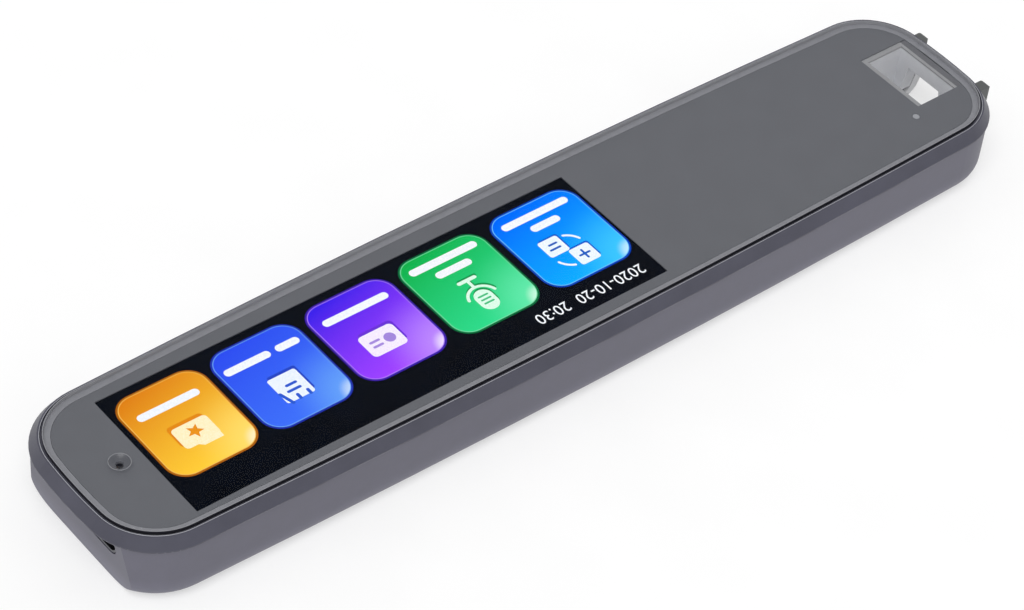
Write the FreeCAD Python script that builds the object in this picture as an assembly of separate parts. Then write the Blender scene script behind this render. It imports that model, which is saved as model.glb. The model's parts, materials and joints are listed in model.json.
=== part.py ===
import FreeCAD, Part
import math
import os

from FreeCAD import Vector

# Handheld scanning translator, lying on its flat back.
# +X runs to the scanning tip, -Y to the long side that faces the viewer, +Z up through the screen.
# Millimetres. The origin is under the middle of the whole length, on the surface it lies on.

# Cover lens outline: long bowed sides, bowed ends and round corners
lens_length = 150.0
lens_width = 29.0
side_radius = 2300.0
end_radius = 80.0
corner_radius = 8.5

# Heights, counted up from the flat back
total_height = 11.8
lens_thickness = 0.8
mask_thickness = 0.15
lens_edge_round = 0.22
lip_drop = 0.6
bevel_height = 1.55
band_height = 0.2

# How far each ring of the housing stands outside the lens
groove_width = 0.35
lip_width = 0.3
bevel_width = 1.05
body_inset = 0.2

# Housing walls
wall = 1.5
floor_thickness = 1.4
outer_bottom_round = 3.0
inner_bottom_round = 1.6
tongue_height = 1.0
tongue_wall = 0.8
fit_gap = 0.05
clear_border = 1.1

# Slanted flat at the tail, under the overhanging band
facet_setback = 1.5
facet_lean = 1.1

# Display
screen_length = 76.9
screen_width = 21.8
screen_start = 10.6
panel_border = 0.9
panel_tail_border = 2.0
panel_thickness = 1.0
backlight_thickness = 0.9
pocket_gap = 0.2

# Scanning window, chamber and aperture at the tip
window_width = 12.1
window_depth = 10.2
chamber_wall = 0.9
chamber_ledge = 0.8
chamber_front_wall = 0.5
tunnel_length = 7.2
aperture_height = 8.2
aperture_top_width = 6.4
aperture_bottom_width = 9.6
notch_depth = 5.4
nose_width = 10.2
nose_gap = 0.15

# Camera that looks through the chamber
camera_height = 4.0
camera_width = 7.2
camera_axis = 2.0
camera_barrel = 1.8
camera_barrel_wall = 0.4
camera_lens_thickness = 0.5

# Sensing feet and their carriage
foot_spacing = 13.0
foot_width = 1.8
foot_height = 2.7
foot_reach = 2.3
foot_top_drop = 2.6
foot_gap = 0.15
foot_round = 0.8
trigger_travel = 0.75
flange_thickness = 0.65
flange_gap = 0.2
arm_width = 1.3
arm_height = 1.4
arm_spacing = 17.9
arm_end = 51.5
arm_clearance = 0.25
bridge_length = 1.4
bridge_thickness = 0.75

# Coil springs of the carriage
spring_wire = 0.25
spring_coil_radius = 0.72
spring_turns = 6
spring_length = 5.2
spring_seat = 1.0
spring_seat_reach = 2.2
spring_clearance = 1.05

# Boards and parts on them
board_thickness = 0.8
board_top = 5.8
board_width = 23.0
board_start = 4.8
board_end = 8.0
scan_board_top = 4.0
scan_board_start = 46.5
scan_board_end = 57.1
post_radius = 1.8
screw_radius = 0.7
screw_head_radius = 1.25
screw_head_height = 0.6
screw_bite = 2.2
scan_screw_bite = 1.6

# Charging socket in the tail facet
socket_offset = -4.9
socket_width = 7.2
socket_height = 2.9
socket_depth = 7.3
socket_wall = 0.3
socket_gap = 0.15
socket_tongue = 0.7

# Power button on the far long side
button_position = -47.0
button_length = 9.0
button_height = 2.6
button_proud = 0.5
button_gap = 0.12
button_travel = 0.35
button_flange = 1.0
button_flange_thickness = 1.0
button_level = 6.6

# Microphone under the dimple of the lens
mic_from_tail = 6.7
dimple_radius = 1.45
dimple_depth = 0.5
mic_hole_radius = 0.5

# Status light in the lens mask
light_x = 63.0
light_from_window = 1.45
light_radius = 0.5
light_bottom = 8.4

# Battery
battery_start = 11.0
battery_length = 33.5
battery_width = 23.0
battery_thickness = 5.8
battery_pad_thickness = 0.2

# Speaker
speaker_x = -50.0
speaker_length = 15.0
speaker_width = 11.0
speaker_gap = 0.4
speaker_mesh_thickness = 0.2
speaker_slot_length = 7.0
speaker_slot_width = 0.9
speaker_slot_pitch = 1.9
speaker_slots = 5

# Levels and places worked out from the sizes above
half_length = lens_length / 2
half_width = lens_width / 2
lens_bottom = total_height - lens_thickness
shelf_top = lens_bottom - mask_thickness
lip_level = total_height - lip_drop
bevel_level = lip_level - bevel_height
split_level = bevel_level - band_height
lip_grow = groove_width + lip_width
band_grow = lip_grow + bevel_width
body_grow = band_grow - body_inset
cavity_grow = body_grow - wall
panel_bottom = shelf_top - panel_thickness
backlight_bottom = panel_bottom - backlight_thickness
screen_x0 = -half_length + screen_start
screen_x1 = screen_x0 + screen_length
window_x0 = half_length - window_depth
window_x1 = half_length - clear_border
board_bottom = board_top - board_thickness
board_x0 = -half_length + board_start
scan_board_bottom = scan_board_top - board_thickness
speaker_height = board_bottom - speaker_gap - speaker_mesh_thickness - floor_thickness
spring_spacing = window_width + 2 * (chamber_wall + spring_clearance)
light_y = -window_width / 2 - light_from_window
mic_x = -half_length + mic_from_tail
whole_shift = foot_reach / 2
eps = 1.0


def box(x0, x1, y0, y1, z0, z1):
    return Part.makeBox(x1 - x0, y1 - y0, z1 - z0, Vector(x0, y0, z0))


def rod(radius, length, base, direction):
    return Part.makeCylinder(radius, length, Vector(*base), Vector(*direction))


def prism(points, direction):
    corners = [Vector(*point) for point in points]
    return Part.Face(Part.makePolygon(corners + corners[:1])).extrude(Vector(*direction))


def outline(grow, level):
    """Closed outline of the lens, moved outwards by grow: eight tangent arcs."""
    a = half_length + grow
    b = half_width + grow
    side = side_radius + grow
    end = end_radius + grow
    corner = corner_radius + grow
    side_centre = Vector(0, b - side, level)
    end_centre = Vector(a - end, 0, level)
    reach_side = side - corner
    reach_end = end - corner
    across = end_centre - side_centre
    span = across.Length
    along = (reach_side ** 2 - reach_end ** 2 + span ** 2) / (2 * span)
    lift = math.sqrt(reach_side ** 2 - along ** 2)
    unit = across / span
    normal = Vector(unit.y, -unit.x, 0)
    centre = side_centre + unit * along + normal * lift
    to_side = (centre - side_centre) / reach_side
    to_end = (centre - end_centre) / reach_end
    p_side = side_centre + to_side * side
    p_end = end_centre + to_end * end
    middle = to_side + to_end
    p_corner = centre + middle / middle.Length * corner

    def flip(point, sx, sy):
        return Vector(point.x * sx, point.y * sy, level)

    def arc(p, q, r):
        return Part.Arc(p, q, r).toShape()

    edges = [
        arc(flip(p_side, -1, 1), Vector(0, b, level), p_side),
        arc(p_side, p_corner, p_end),
        arc(p_end, Vector(a, 0, level), flip(p_end, 1, -1)),
        arc(flip(p_end, 1, -1), flip(p_corner, 1, -1), flip(p_side, 1, -1)),
        arc(flip(p_side, 1, -1), Vector(0, -b, level), flip(p_side, -1, -1)),
        arc(flip(p_side, -1, -1), flip(p_corner, -1, -1), flip(p_end, -1, -1)),
        arc(flip(p_end, -1, -1), Vector(-a, 0, level), flip(p_end, -1, 1)),
        arc(flip(p_end, -1, 1), flip(p_corner, -1, 1), flip(p_side, -1, 1)),
    ]
    return Part.Wire(edges)


def slab(grow, z0, z1):
    return Part.Face(outline(grow, z0)).extrude(Vector(0, 0, z1 - z0))


def edges_at(shape, level):
    """Edges that lie flat at one height."""
    flat = []
    for edge in shape.Edges:
        box_ = edge.BoundBox
        if abs(box_.ZMin - level) < 1e-4 and abs(box_.ZMax - level) < 1e-4:
            flat.append(edge)
    return flat


def side_at(x, grow):
    """Half width of the outline at x, on the bowed side."""
    side = side_radius + grow
    return half_width + grow - side + math.sqrt(side ** 2 - x ** 2)


def end_at(y, grow):
    """Half length of the outline at y, on the bowed end."""
    end = end_radius + grow
    return half_length + grow - end + math.sqrt(end ** 2 - y ** 2)


def stadium(length, height, base, direction):
    """Round-ended bar: length along Y or X, height along Z, run out along direction."""
    radius = height / 2
    x, y, z = base
    along = Vector(1, 0, 0) if abs(direction[1]) > 0 else Vector(0, 1, 0)
    middle = Vector(x, y, z)
    half = along * (length / 2 - radius)
    up = Vector(0, 0, radius)
    out = along * (length / 2)
    edges = [
        Part.LineSegment(middle - half + up, middle + half + up).toShape(),
        Part.Arc(middle + half + up, middle + out, middle + half - up).toShape(),
        Part.LineSegment(middle + half - up, middle - half - up).toShape(),
        Part.Arc(middle - half - up, middle - out, middle - half + up).toShape(),
    ]
    return Part.Face(Part.Wire(edges)).extrude(Vector(*direction))


def beyond_facet(inset):
    """Everything outside the slanted flat at the tail, moved inwards by inset."""
    top_x = -half_length - body_grow + facet_setback + inset
    bottom_x = top_x + facet_lean
    far = -half_length - 20
    wide = half_width + 20
    points = [
        (far, -wide, -eps),
        (bottom_x + facet_lean * eps / split_level, -wide, -eps),
        (top_x - facet_lean * eps / split_level, -wide, split_level + eps),
        (far, -wide, split_level + eps),
    ]
    return prism(points, (0, 2 * wide, 0))


def facet_x(level):
    """X of the tail facet at a height."""
    return -half_length - body_grow + facet_setback + facet_lean * (1 - level / split_level)


def aperture(x0, x1, grow):
    """Scanning aperture: a trapezium in the front wall that is open at the bottom."""
    top = aperture_top_width / 2 + grow
    bottom = aperture_bottom_width / 2 + grow
    points = [
        (x0, -bottom, -eps),
        (x0, bottom, -eps),
        (x0, top, aperture_height + grow),
        (x0, -top, aperture_height + grow),
    ]
    return prism(points, (x1 - x0, 0, 0))


def board_screw_places():
    x0 = board_x0 + 6.5
    x1 = board_end - 3.0
    y = board_width / 2 - 2.4
    return [(x0, y), (x1, y), (x1, -y), (x0 + 6.0, -y)]


def scan_screw_places():
    x = scan_board_start + 1.9
    return [(x, -6.0), (x, 2.5)]


def foot_level():
    return total_height - foot_top_drop - foot_height / 2


# Cover lens, its printed mask and the adhesive

def cover_lens():
    lens = slab(0, lens_bottom, total_height)
    lens = lens.makeFillet(lens_edge_round, edges_at(lens, total_height))
    ball = (dimple_radius ** 2 + dimple_depth ** 2) / (2 * dimple_depth)
    dimple = Part.makeSphere(ball, Vector(mic_x, 0, total_height - dimple_depth + ball))
    hole = rod(mic_hole_radius, lens_thickness + 2 * eps, (mic_x, 0, lens_bottom - eps), (0, 0, 1))
    return lens.cut(dimple).cut(hole)


def lens_mask():
    mask = slab(-clear_border, shelf_top, lens_bottom)
    low, high = shelf_top - eps, lens_bottom + eps
    screen = box(screen_x0, screen_x1, -screen_width / 2, screen_width / 2, low, high)
    window = box(window_x0, half_length + eps, -window_width / 2, window_width / 2, low, high)
    hole = rod(mic_hole_radius, high - low, (mic_x, 0, low), (0, 0, 1))
    light = rod(light_radius + fit_gap, high - low, (light_x, light_y, low), (0, 0, 1))
    return mask.cut(screen).cut(window).cut(hole).cut(light)


def lens_adhesive():
    ring = slab(-fit_gap, shelf_top, lens_bottom)
    return ring.cut(slab(fit_gap - clear_border, shelf_top - eps, lens_bottom + eps))


# Housing

def panel_box(grow, z0, z1):
    x0 = screen_x0 - panel_border - grow
    x1 = screen_x1 + panel_tail_border + grow
    y = screen_width / 2 + panel_border + grow
    return box(x0, x1, -y, y, z0, z1)


def chamber_top(grow, z0, z1):
    y = window_width / 2 + chamber_wall + grow
    x0 = window_x0 - chamber_wall - grow
    return box(x0, window_x1 + grow, -y, y, z0, z1)


def top_frame():
    bevel = Part.makeLoft([outline(band_grow, bevel_level), outline(lip_grow, lip_level)], True, True)
    frame = bevel.fuse(slab(band_grow, split_level, bevel_level))
    tongue = slab(cavity_grow - fit_gap, split_level - tongue_height, split_level)
    tongue = tongue.cut(slab(cavity_grow - tongue_wall, 0, total_height))
    tongue_x0 = board_x0 + socket_depth
    tongue = tongue.common(box(tongue_x0, arm_end - 3.0, -lens_width, lens_width, 0, total_height))
    low = split_level - tongue_height - eps
    reach = button_length / 2 + button_flange + 2 * fit_gap + 0.5
    at_button = box(button_position - reach, button_position + reach, 0, lens_width, low, split_level)
    frame = frame.fuse(tongue.cut(at_button)).removeSplitter()
    frame = frame.cut(slab(groove_width, shelf_top, total_height + eps))
    frame = frame.cut(panel_box(pocket_gap, low, total_height))
    frame = frame.cut(chamber_top(pocket_gap, low, total_height))
    frame = frame.cut(rod(mic_hole_radius + 0.3, 4 * eps, (mic_x, 0, split_level - eps), (0, 0, 1)))
    frame = frame.cut(rod(light_radius + fit_gap, 4 * eps, (light_x, light_y, split_level - eps), (0, 0, 1)))
    return frame


def back_shell():
    body = slab(body_grow, 0, split_level)
    body = body.makeFillet(outer_bottom_round, edges_at(body, 0))
    body = body.cut(beyond_facet(0))
    cavity = slab(cavity_grow, floor_thickness, split_level + eps)
    cavity = cavity.makeFillet(inner_bottom_round, edges_at(cavity, floor_thickness))
    cavity = cavity.cut(beyond_facet(wall))
    shell = body.cut(cavity)
    posts = []
    for x, y in board_screw_places():
        posts.append(rod(post_radius, board_bottom - floor_thickness + 0.2, (x, y, floor_thickness - 0.2), (0, 0, 1)))
    for x, y in scan_screw_places():
        height = scan_board_bottom - floor_thickness + 0.2
        posts.append(rod(post_radius, height, (x, y, floor_thickness - 0.2), (0, 0, 1)))
    rib_x = battery_start + battery_length + 0.3
    rib_y = battery_width / 2
    posts.append(box(rib_x, rib_x + 0.8, -rib_y, rib_y, floor_thickness - 0.2, board_bottom))
    shell = shell.fuse(posts).removeSplitter()
    for x, y in board_screw_places():
        base = board_bottom - screw_bite - 0.2
        shell = shell.cut(rod(screw_radius + fit_gap, 9, (x, y, base), (0, 0, 1)))
    for x, y in scan_screw_places():
        base = scan_board_bottom - scan_screw_bite - 0.2
        shell = shell.cut(rod(screw_radius + fit_gap, 9, (x, y, base), (0, 0, 1)))
    shell = shell.cut(aperture(half_length - notch_depth, half_length + 9, 0))
    for side in (-1, 1):
        y = side * foot_spacing / 2
        half_y = foot_width / 2 + foot_gap
        half_z = foot_height / 2 + foot_gap
        z = foot_level()
        slot = box(half_length - 3, half_length + 9, y - half_y, y + half_y, z - half_z, z + half_z)
        shell = shell.cut(slot)
    hole = stadium(
        socket_width + 2 * socket_gap,
        socket_height + 2 * socket_gap,
        (-half_length - 9, socket_offset, socket_level()),
        (14.0, 0, 0),
    )
    shell = shell.cut(hole)
    button_hole = stadium(
        button_length + 2 * button_gap,
        button_height + 2 * button_gap,
        (button_position, half_width - 3, button_level),
        (0, 12.0, 0),
    )
    shell = shell.cut(button_hole)
    for index in range(speaker_slots):
        x = speaker_x + (index - (speaker_slots - 1) / 2) * speaker_slot_pitch
        half = speaker_slot_length / 2 - speaker_slot_width / 2
        radius = speaker_slot_width / 2
        shell = shell.cut(box(x - radius, x + radius, -half, half, -eps, floor_thickness + 0.3))
        for y in (-half, half):
            shell = shell.cut(rod(radius, floor_thickness + 0.3 + eps, (x, y, -eps), (0, 0, 1)))
    return shell


# Display

def display_panel():
    return panel_box(0, panel_bottom, shelf_top)


def display_backlight():
    return panel_box(-0.2, backlight_bottom, panel_bottom)


def display_flex():
    thickness = 0.15
    width = 12.0
    bend_x = board_end + 1.0
    low = board_top + 0.4
    high = backlight_bottom
    radius = (high - low) / 2
    centre = Vector(bend_x, -width / 2, (high + low) / 2)
    ring = Part.makeCylinder(radius, width, centre, Vector(0, 1, 0))
    ring = ring.cut(Part.makeCylinder(radius - thickness, width, centre, Vector(0, 1, 0)))
    ring = ring.cut(box(bend_x - 5, bend_x, -width, width, 0, total_height))
    upper = box(bend_x - 5.5, bend_x, -width / 2, width / 2, high - thickness, high)
    lower = box(bend_x - 4.0, bend_x, -width / 2, width / 2, low, low + thickness)
    return ring.fuse([upper, lower]).removeSplitter()


# Boards and what they carry

def main_board():
    x0, x1, y = board_x0, board_end, board_width / 2
    board = box(x0, x1, -y, y, board_bottom, board_top)
    corners = [edge for edge in board.Edges if abs(edge.BoundBox.ZLength - board_thickness) < 1e-6]
    board = board.makeFillet(1.5, corners)
    for x, y in board_screw_places():
        board = board.cut(rod(screw_radius + 0.1, 4, (x, y, board_bottom - eps), (0, 0, 1)))
    return board


def board_shield():
    can = box(-42.0, -16.0, -7.5, 7.5, board_top, board_top + 1.8)
    inside = box(-41.8, -16.2, -7.3, 7.3, board_top - eps, board_top + 1.6)
    return can.cut(inside)


def processor_chip():
    return box(-36.0, -24.0, -6.0, 6.0, board_top, board_top + 1.3)


def memory_chip():
    return box(-34.0, -22.5, -5.0, 5.0, board_bottom - 1.0, board_bottom)


def display_connector():
    return box(2.0, 5.0, -6.5, 6.5, board_top, board_top + 1.0)


def wireless_antenna():
    y = -side_at(30.0, cavity_grow) + 0.1
    return box(-30.0, -2.0, y, y + 0.15, 2.6, 7.6)


def board_screws():
    screws = []
    for x, y in board_screw_places():
        shaft = rod(screw_radius, board_thickness + screw_bite, (x, y, board_bottom - screw_bite), (0, 0, 1))
        head = rod(screw_head_radius, screw_head_height, (x, y, board_top), (0, 0, 1))
        screws.append(shaft.fuse(head).removeSplitter())
    return Part.makeCompound(screws)


def scan_board_screws():
    screws = []
    for x, y in scan_screw_places():
        length = board_thickness + scan_screw_bite
        shaft = rod(screw_radius, length, (x, y, scan_board_bottom - scan_screw_bite), (0, 0, 1))
        head = rod(screw_head_radius, screw_head_height, (x, y, scan_board_top), (0, 0, 1))
        screws.append(shaft.fuse(head).removeSplitter())
    return Part.makeCompound(screws)


# Charging socket

def socket_level():
    return board_top + socket_height / 2


def socket_front():
    return facet_x(socket_level()) + 0.25


def usb_socket():
    x0 = socket_front()
    base = (x0, socket_offset, socket_level())
    outer = stadium(socket_width, socket_height, base, (socket_depth, 0, 0))
    inner = stadium(
        socket_width - 2 * socket_wall,
        socket_height - 2 * socket_wall,
        base,
        (socket_depth - 1.0, 0, 0),
    )
    tongue_y = socket_width / 2 - 1.2
    z = socket_level()
    tongue = box(
        x0 + 0.8,
        x0 + socket_depth - 0.5,
        socket_offset - tongue_y,
        socket_offset + tongue_y,
        z - socket_tongue / 2,
        z + socket_tongue / 2,
    )
    return outer.cut(inner).fuse(tongue).removeSplitter()


# Power button

def button_inner():
    return side_at(button_position, cavity_grow) - 0.3


def power_button():
    y0 = button_inner()
    y1 = side_at(button_position, body_grow) + button_proud
    cap = stadium(button_length, button_height, (button_position, y0, button_level), (0, y1 - y0, 0))
    face = [edge for edge in cap.Edges if edge.BoundBox.YMin > y1 - 1e-3]
    cap = cap.makeFillet(0.3, face)
    flange = stadium(
        button_length + 2 * button_flange,
        button_height + 0.8,
        (button_position, y0 - button_flange_thickness, button_level),
        (0, button_flange_thickness, 0),
    )
    return cap.fuse(flange).removeSplitter()


def power_switch():
    reach = button_inner() - button_flange_thickness - button_travel - 0.05
    x = button_position
    y0 = board_width / 2 - 3.0
    y1 = board_width / 2 + 0.2
    body = box(x - 2.2, x + 2.2, y0, y1, board_top, board_top + 2.0)
    plunger = box(x - 0.9, x + 0.9, y1, reach, board_top + 0.4, board_top + 1.6)
    return body.fuse(plunger).removeSplitter()


# Microphone

def mic_gasket():
    ring = rod(1.5, 0.4, (mic_x, 0, split_level - 0.4), (0, 0, 1))
    return ring.cut(rod(mic_hole_radius, 3, (mic_x, 0, split_level - eps), (0, 0, 1)))


def microphone():
    top = split_level - 0.4
    can = box(mic_x - 1.4, mic_x + 1.4, -0.9, 0.9, top - 0.9, top)
    return can.cut(rod(0.3, 0.5, (mic_x, 0, top - 0.3), (0, 0, 1)))


def mic_board():
    top = split_level - 1.3
    return box(mic_x - 2.4, mic_x + 2.6, -0.95, 6.0, top - 0.5, top)


# Battery

def battery():
    z = floor_thickness + battery_pad_thickness
    x1 = battery_start + battery_length
    y = battery_width / 2
    pack = box(battery_start, x1, -y, y, z, z + battery_thickness)
    long_edges = [edge for edge in pack.Edges if edge.BoundBox.XLength > battery_length - 1e-3]
    return pack.makeFillet(1.8, long_edges)


def battery_pad():
    x1 = battery_start + battery_length - 2
    y = battery_width / 2 - 2.5
    return box(battery_start + 2, x1, -y, y, floor_thickness, floor_thickness + battery_pad_thickness)


def battery_board():
    return box(battery_start - 1.0, battery_start, -8.0, 8.0, 2.4, 5.4)


# Speaker

def speaker_mesh():
    x = speaker_length / 2 - 1.5
    y = speaker_width / 2 - 1
    return box(speaker_x - x, speaker_x + x, -y, y, floor_thickness, floor_thickness + speaker_mesh_thickness)


def speaker():
    z = floor_thickness + speaker_mesh_thickness
    x = speaker_length / 2
    y = speaker_width / 2
    case = box(speaker_x - x, speaker_x + x, -y, y, z, z + speaker_height)
    upright = [edge for edge in case.Edges if edge.BoundBox.ZLength > speaker_height - 1e-3]
    return case.makeFillet(1.5, upright)


# Scanning chamber, camera and lamps

def chamber_x0():
    return window_x0 - tunnel_length


def camera_level():
    return scan_board_top + camera_axis


def scan_chamber():
    low = floor_thickness + 0.1
    top = shelf_top
    outer_y = window_width / 2 + chamber_wall
    front = half_length - notch_depth + 2.7 + chamber_front_wall
    tunnel_top = backlight_bottom
    body = box(window_x0 - chamber_wall, front, -outer_y, outer_y, low, top)
    tunnel = box(chamber_x0(), window_x0, -outer_y, outer_y, low, tunnel_top)
    nose_end = end_at(nose_width / 2, cavity_grow) - nose_gap
    nose_top = split_level - nose_gap
    nose = box(front - 1, nose_end, -nose_width / 2, nose_width / 2, low + 1.5, nose_top)
    parts = [tunnel, nose]
    for side in (-1, 1):
        y0, y1 = sorted((side * (outer_y - 0.2), side * (outer_y + spring_seat_reach)))
        x1 = flange_back() - spring_length - fit_gap
        parts.append(box(x1 - spring_seat, x1, y0, y1, spring_level() - 1.2, spring_level() + 1.2))
    chamber = body.fuse(parts).removeSplitter()
    far_y = window_width / 2 - chamber_ledge
    near_y = -window_width / 2
    inner_x = window_x0 + chamber_ledge
    shaft = box(inner_x, front - chamber_front_wall, near_y, far_y, low + chamber_wall, top + eps)
    passage = box(
        chamber_x0() + chamber_wall,
        inner_x + eps,
        near_y + 0.6,
        far_y,
        low + chamber_wall,
        tunnel_top - chamber_wall,
    )
    chamber = chamber.cut(shaft).cut(passage)
    chamber = chamber.cut(aperture(half_length - notch_depth, half_length + 9, 0))
    barrel = rod(camera_barrel + fit_gap, 4, (chamber_x0() - eps, 0, camera_level()), (1, 0, 0))
    return chamber.cut(barrel)


def scan_board():
    x0, x1, y = scan_board_start, scan_board_end, board_width / 2
    board = box(x0, x1, -y, y, scan_board_bottom, scan_board_top)
    for x, y in scan_screw_places():
        board = board.cut(rod(screw_radius + 0.1, 4, (x, y, scan_board_bottom - eps), (0, 0, 1)))
    return board


def camera_module():
    x0 = scan_board_start + 4.0
    x1 = chamber_x0() - 2.0
    half = camera_width / 2
    body = box(x0, x1, -half, half, scan_board_top, scan_board_top + camera_height)
    barrel = rod(camera_barrel, chamber_x0() + 1.5 - x1, (x1, 0, camera_level()), (1, 0, 0))
    recess_radius = camera_barrel - camera_barrel_wall
    recess = rod(recess_radius, 2, (chamber_x0() + chamber_wall, 0, camera_level()), (1, 0, 0))
    return body.fuse(barrel).removeSplitter().cut(recess)


def camera_lens():
    radius = camera_barrel - camera_barrel_wall - fit_gap
    return rod(radius, camera_lens_thickness, (chamber_x0() + chamber_wall, 0, camera_level()), (1, 0, 0))


def lamp_board():
    top = backlight_bottom - chamber_wall
    x0 = chamber_x0() + chamber_wall + 1.0
    return box(x0, window_x0 - 0.4, -4.5, 4.5, top - 0.5, top)


def scan_lamps():
    top = backlight_bottom - chamber_wall - 0.5
    x = window_x0 - 1.8
    lamps = []
    for y in (-3.0, 0.0, 3.0):
        lamps.append(box(x - 0.7, x + 0.7, y - 0.7, y + 0.7, top - 0.6, top))
    return Part.makeCompound(lamps)


def status_light():
    return rod(light_radius, lens_bottom - light_bottom, (light_x, light_y, light_bottom), (0, 0, 1))


# Sensing feet: one sprung carriage round the chamber

def flange_front():
    return end_at(foot_spacing / 2, cavity_grow) - flange_gap


def flange_back():
    return flange_front() - flange_thickness


def spring_level():
    return foot_level() + 0.2


def tip_trigger():
    z = foot_level()
    half_z = foot_height / 2
    arm_low = scan_board_top + arm_clearance
    bridge_low = scan_board_top + camera_height + arm_clearance
    bridge_top = bridge_low + bridge_thickness
    feet = []
    inner = []
    for side in (-1, 1):
        y = side * foot_spacing / 2
        tip_x = half_length + band_grow + foot_reach
        foot = box(flange_back(), tip_x, y - foot_width / 2, y + foot_width / 2, z - half_z, z + half_z)
        rounded = [edge for edge in foot.Edges if edge.BoundBox.XMin > tip_x - 1e-3]
        feet.append(foot.makeFillet(foot_round, rounded))
        y0, y1 = sorted((y - side * foot_width / 2, side * (arm_spacing + arm_width) / 2))
        inner.append(box(flange_back(), flange_front(), y0, y1, arm_low, z + half_z))
        y0, y1 = sorted((side * (arm_spacing - arm_width) / 2, side * (arm_spacing + arm_width) / 2))
        inner.append(box(arm_end, flange_front(), y0, y1, arm_low, arm_low + arm_height))
        inner.append(box(arm_end, arm_end + bridge_length, y0, y1, arm_low, bridge_top))
    bridge_y = (arm_spacing + arm_width) / 2
    bridge = box(arm_end, arm_end + bridge_length, -bridge_y, bridge_y, bridge_low, bridge_top)
    carriage = bridge.fuse(inner).common(slab(cavity_grow - flange_gap, 0, total_height))
    return carriage.fuse(feet).removeSplitter()


def trigger_spring(side):
    pitch = (spring_length - spring_wire) / spring_turns
    helix = Part.makeHelix(pitch, pitch * spring_turns, spring_coil_radius)
    section = Part.makeCircle(spring_wire / 2, Vector(spring_coil_radius, 0, 0), Vector(0, 1, 0))
    coil = Part.Wire(helix).makePipeShell([Part.Wire(section)], True, True)
    coil.rotate(Vector(0, 0, 0), Vector(0, 1, 0), 90)
    x0 = flange_back() - spring_length + spring_wire / 2
    coil.translate(Vector(x0, side * spring_spacing / 2, spring_level()))
    return coil


def tip_switch():
    x1 = arm_end - trigger_travel - 0.05
    y = arm_spacing / 2
    z = scan_board_top
    body = box(x1 - 3.6, x1 - 0.6, y - 1.5, y + 1.5, z, z + 2.2)
    plunger = box(x1 - 0.6, x1, y - 0.6, y + 0.6, z + 0.5, z + 1.5)
    return body.fuse(plunger).removeSplitter()


def export(node, shape):
    placed = shape.copy()
    placed.translate(Vector(-whole_shift, 0, 0))
    placed.exportStep("parts/" + node + ".step")


def build():
    os.makedirs("parts", exist_ok=True)
    pieces = {
        "cover_lens": cover_lens(),
        "lens_mask": lens_mask(),
        "lens_adhesive": lens_adhesive(),
        "top_frame": top_frame(),
        "back_shell": back_shell(),
        "display_panel": display_panel(),
        "display_backlight": display_backlight(),
        "display_flex": display_flex(),
        "display_connector": display_connector(),
        "main_board": main_board(),
        "processor_chip": processor_chip(),
        "memory_chip": memory_chip(),
        "board_shield": board_shield(),
        "board_screws": board_screws(),
        "wireless_antenna": wireless_antenna(),
        "usb_socket": usb_socket(),
        "power_button": power_button(),
        "power_switch": power_switch(),
        "mic_gasket": mic_gasket(),
        "microphone": microphone(),
        "mic_board": mic_board(),
        "battery": battery(),
        "battery_pad": battery_pad(),
        "battery_board": battery_board(),
        "speaker": speaker(),
        "speaker_mesh": speaker_mesh(),
        "scan_chamber": scan_chamber(),
        "scan_board": scan_board(),
        "scan_board_screws": scan_board_screws(),
        "camera_module": camera_module(),
        "camera_lens": camera_lens(),
        "lamp_board": lamp_board(),
        "scan_lamps": scan_lamps(),
        "status_light": status_light(),
        "tip_trigger": tip_trigger(),
        "trigger_spring_near": trigger_spring(-1),
        "trigger_spring_far": trigger_spring(1),
        "tip_switch": tip_switch(),
    }
    for node, shape in pieces.items():
        export(node, shape)
        count = len(shape.Solids)
        valid = shape.isValid()
        print(f"{node}: {count} solid(s), valid {valid}, {shape.Volume:.2f} mm3")


build()
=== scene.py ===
import json
import math

import bmesh
import bpy
from mathutils import Matrix, Vector


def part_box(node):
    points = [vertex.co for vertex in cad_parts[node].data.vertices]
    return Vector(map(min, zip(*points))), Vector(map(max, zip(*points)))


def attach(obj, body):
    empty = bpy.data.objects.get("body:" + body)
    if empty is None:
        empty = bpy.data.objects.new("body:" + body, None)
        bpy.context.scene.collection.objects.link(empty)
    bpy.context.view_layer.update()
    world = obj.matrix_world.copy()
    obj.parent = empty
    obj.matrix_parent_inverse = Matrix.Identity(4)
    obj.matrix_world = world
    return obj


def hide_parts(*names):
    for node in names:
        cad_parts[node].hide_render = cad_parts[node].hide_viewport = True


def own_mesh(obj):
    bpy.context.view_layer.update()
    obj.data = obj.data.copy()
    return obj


# Handheld scanning translator: a clear lens over a grey print, a lit screen with five tiles, a scanning
# window at the +X tip with two sensing feet, a dark sloping band round the lens and a satin grey lower body.
# Everything is in metres in the frame of the solid model. MM turns millimetres into metres.

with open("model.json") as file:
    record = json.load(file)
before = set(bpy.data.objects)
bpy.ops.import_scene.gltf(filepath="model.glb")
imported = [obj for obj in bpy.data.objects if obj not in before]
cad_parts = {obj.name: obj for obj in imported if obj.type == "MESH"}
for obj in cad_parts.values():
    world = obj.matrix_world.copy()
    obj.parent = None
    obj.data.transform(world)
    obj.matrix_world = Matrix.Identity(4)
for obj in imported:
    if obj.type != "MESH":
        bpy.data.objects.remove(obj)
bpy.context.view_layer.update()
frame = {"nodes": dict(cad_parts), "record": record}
nodes = frame["nodes"]
MM = 0.001

# The feet stand out 2.3 mm at the tip, so the middle of the lens is half of that behind the origin
whole_shift = 1.15


# Moulded surfaces, the acrylic of the lens, and the lit screen
gloss_spread = 0.06
grain_strength = 0.35
coat_roughness = 0.08
acrylic_ior = 1.49
wipe_scale = 90.0
cell_scale = 9000.0
print_glow = 1.04
tile_glow = 1.06


# Colours

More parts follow.
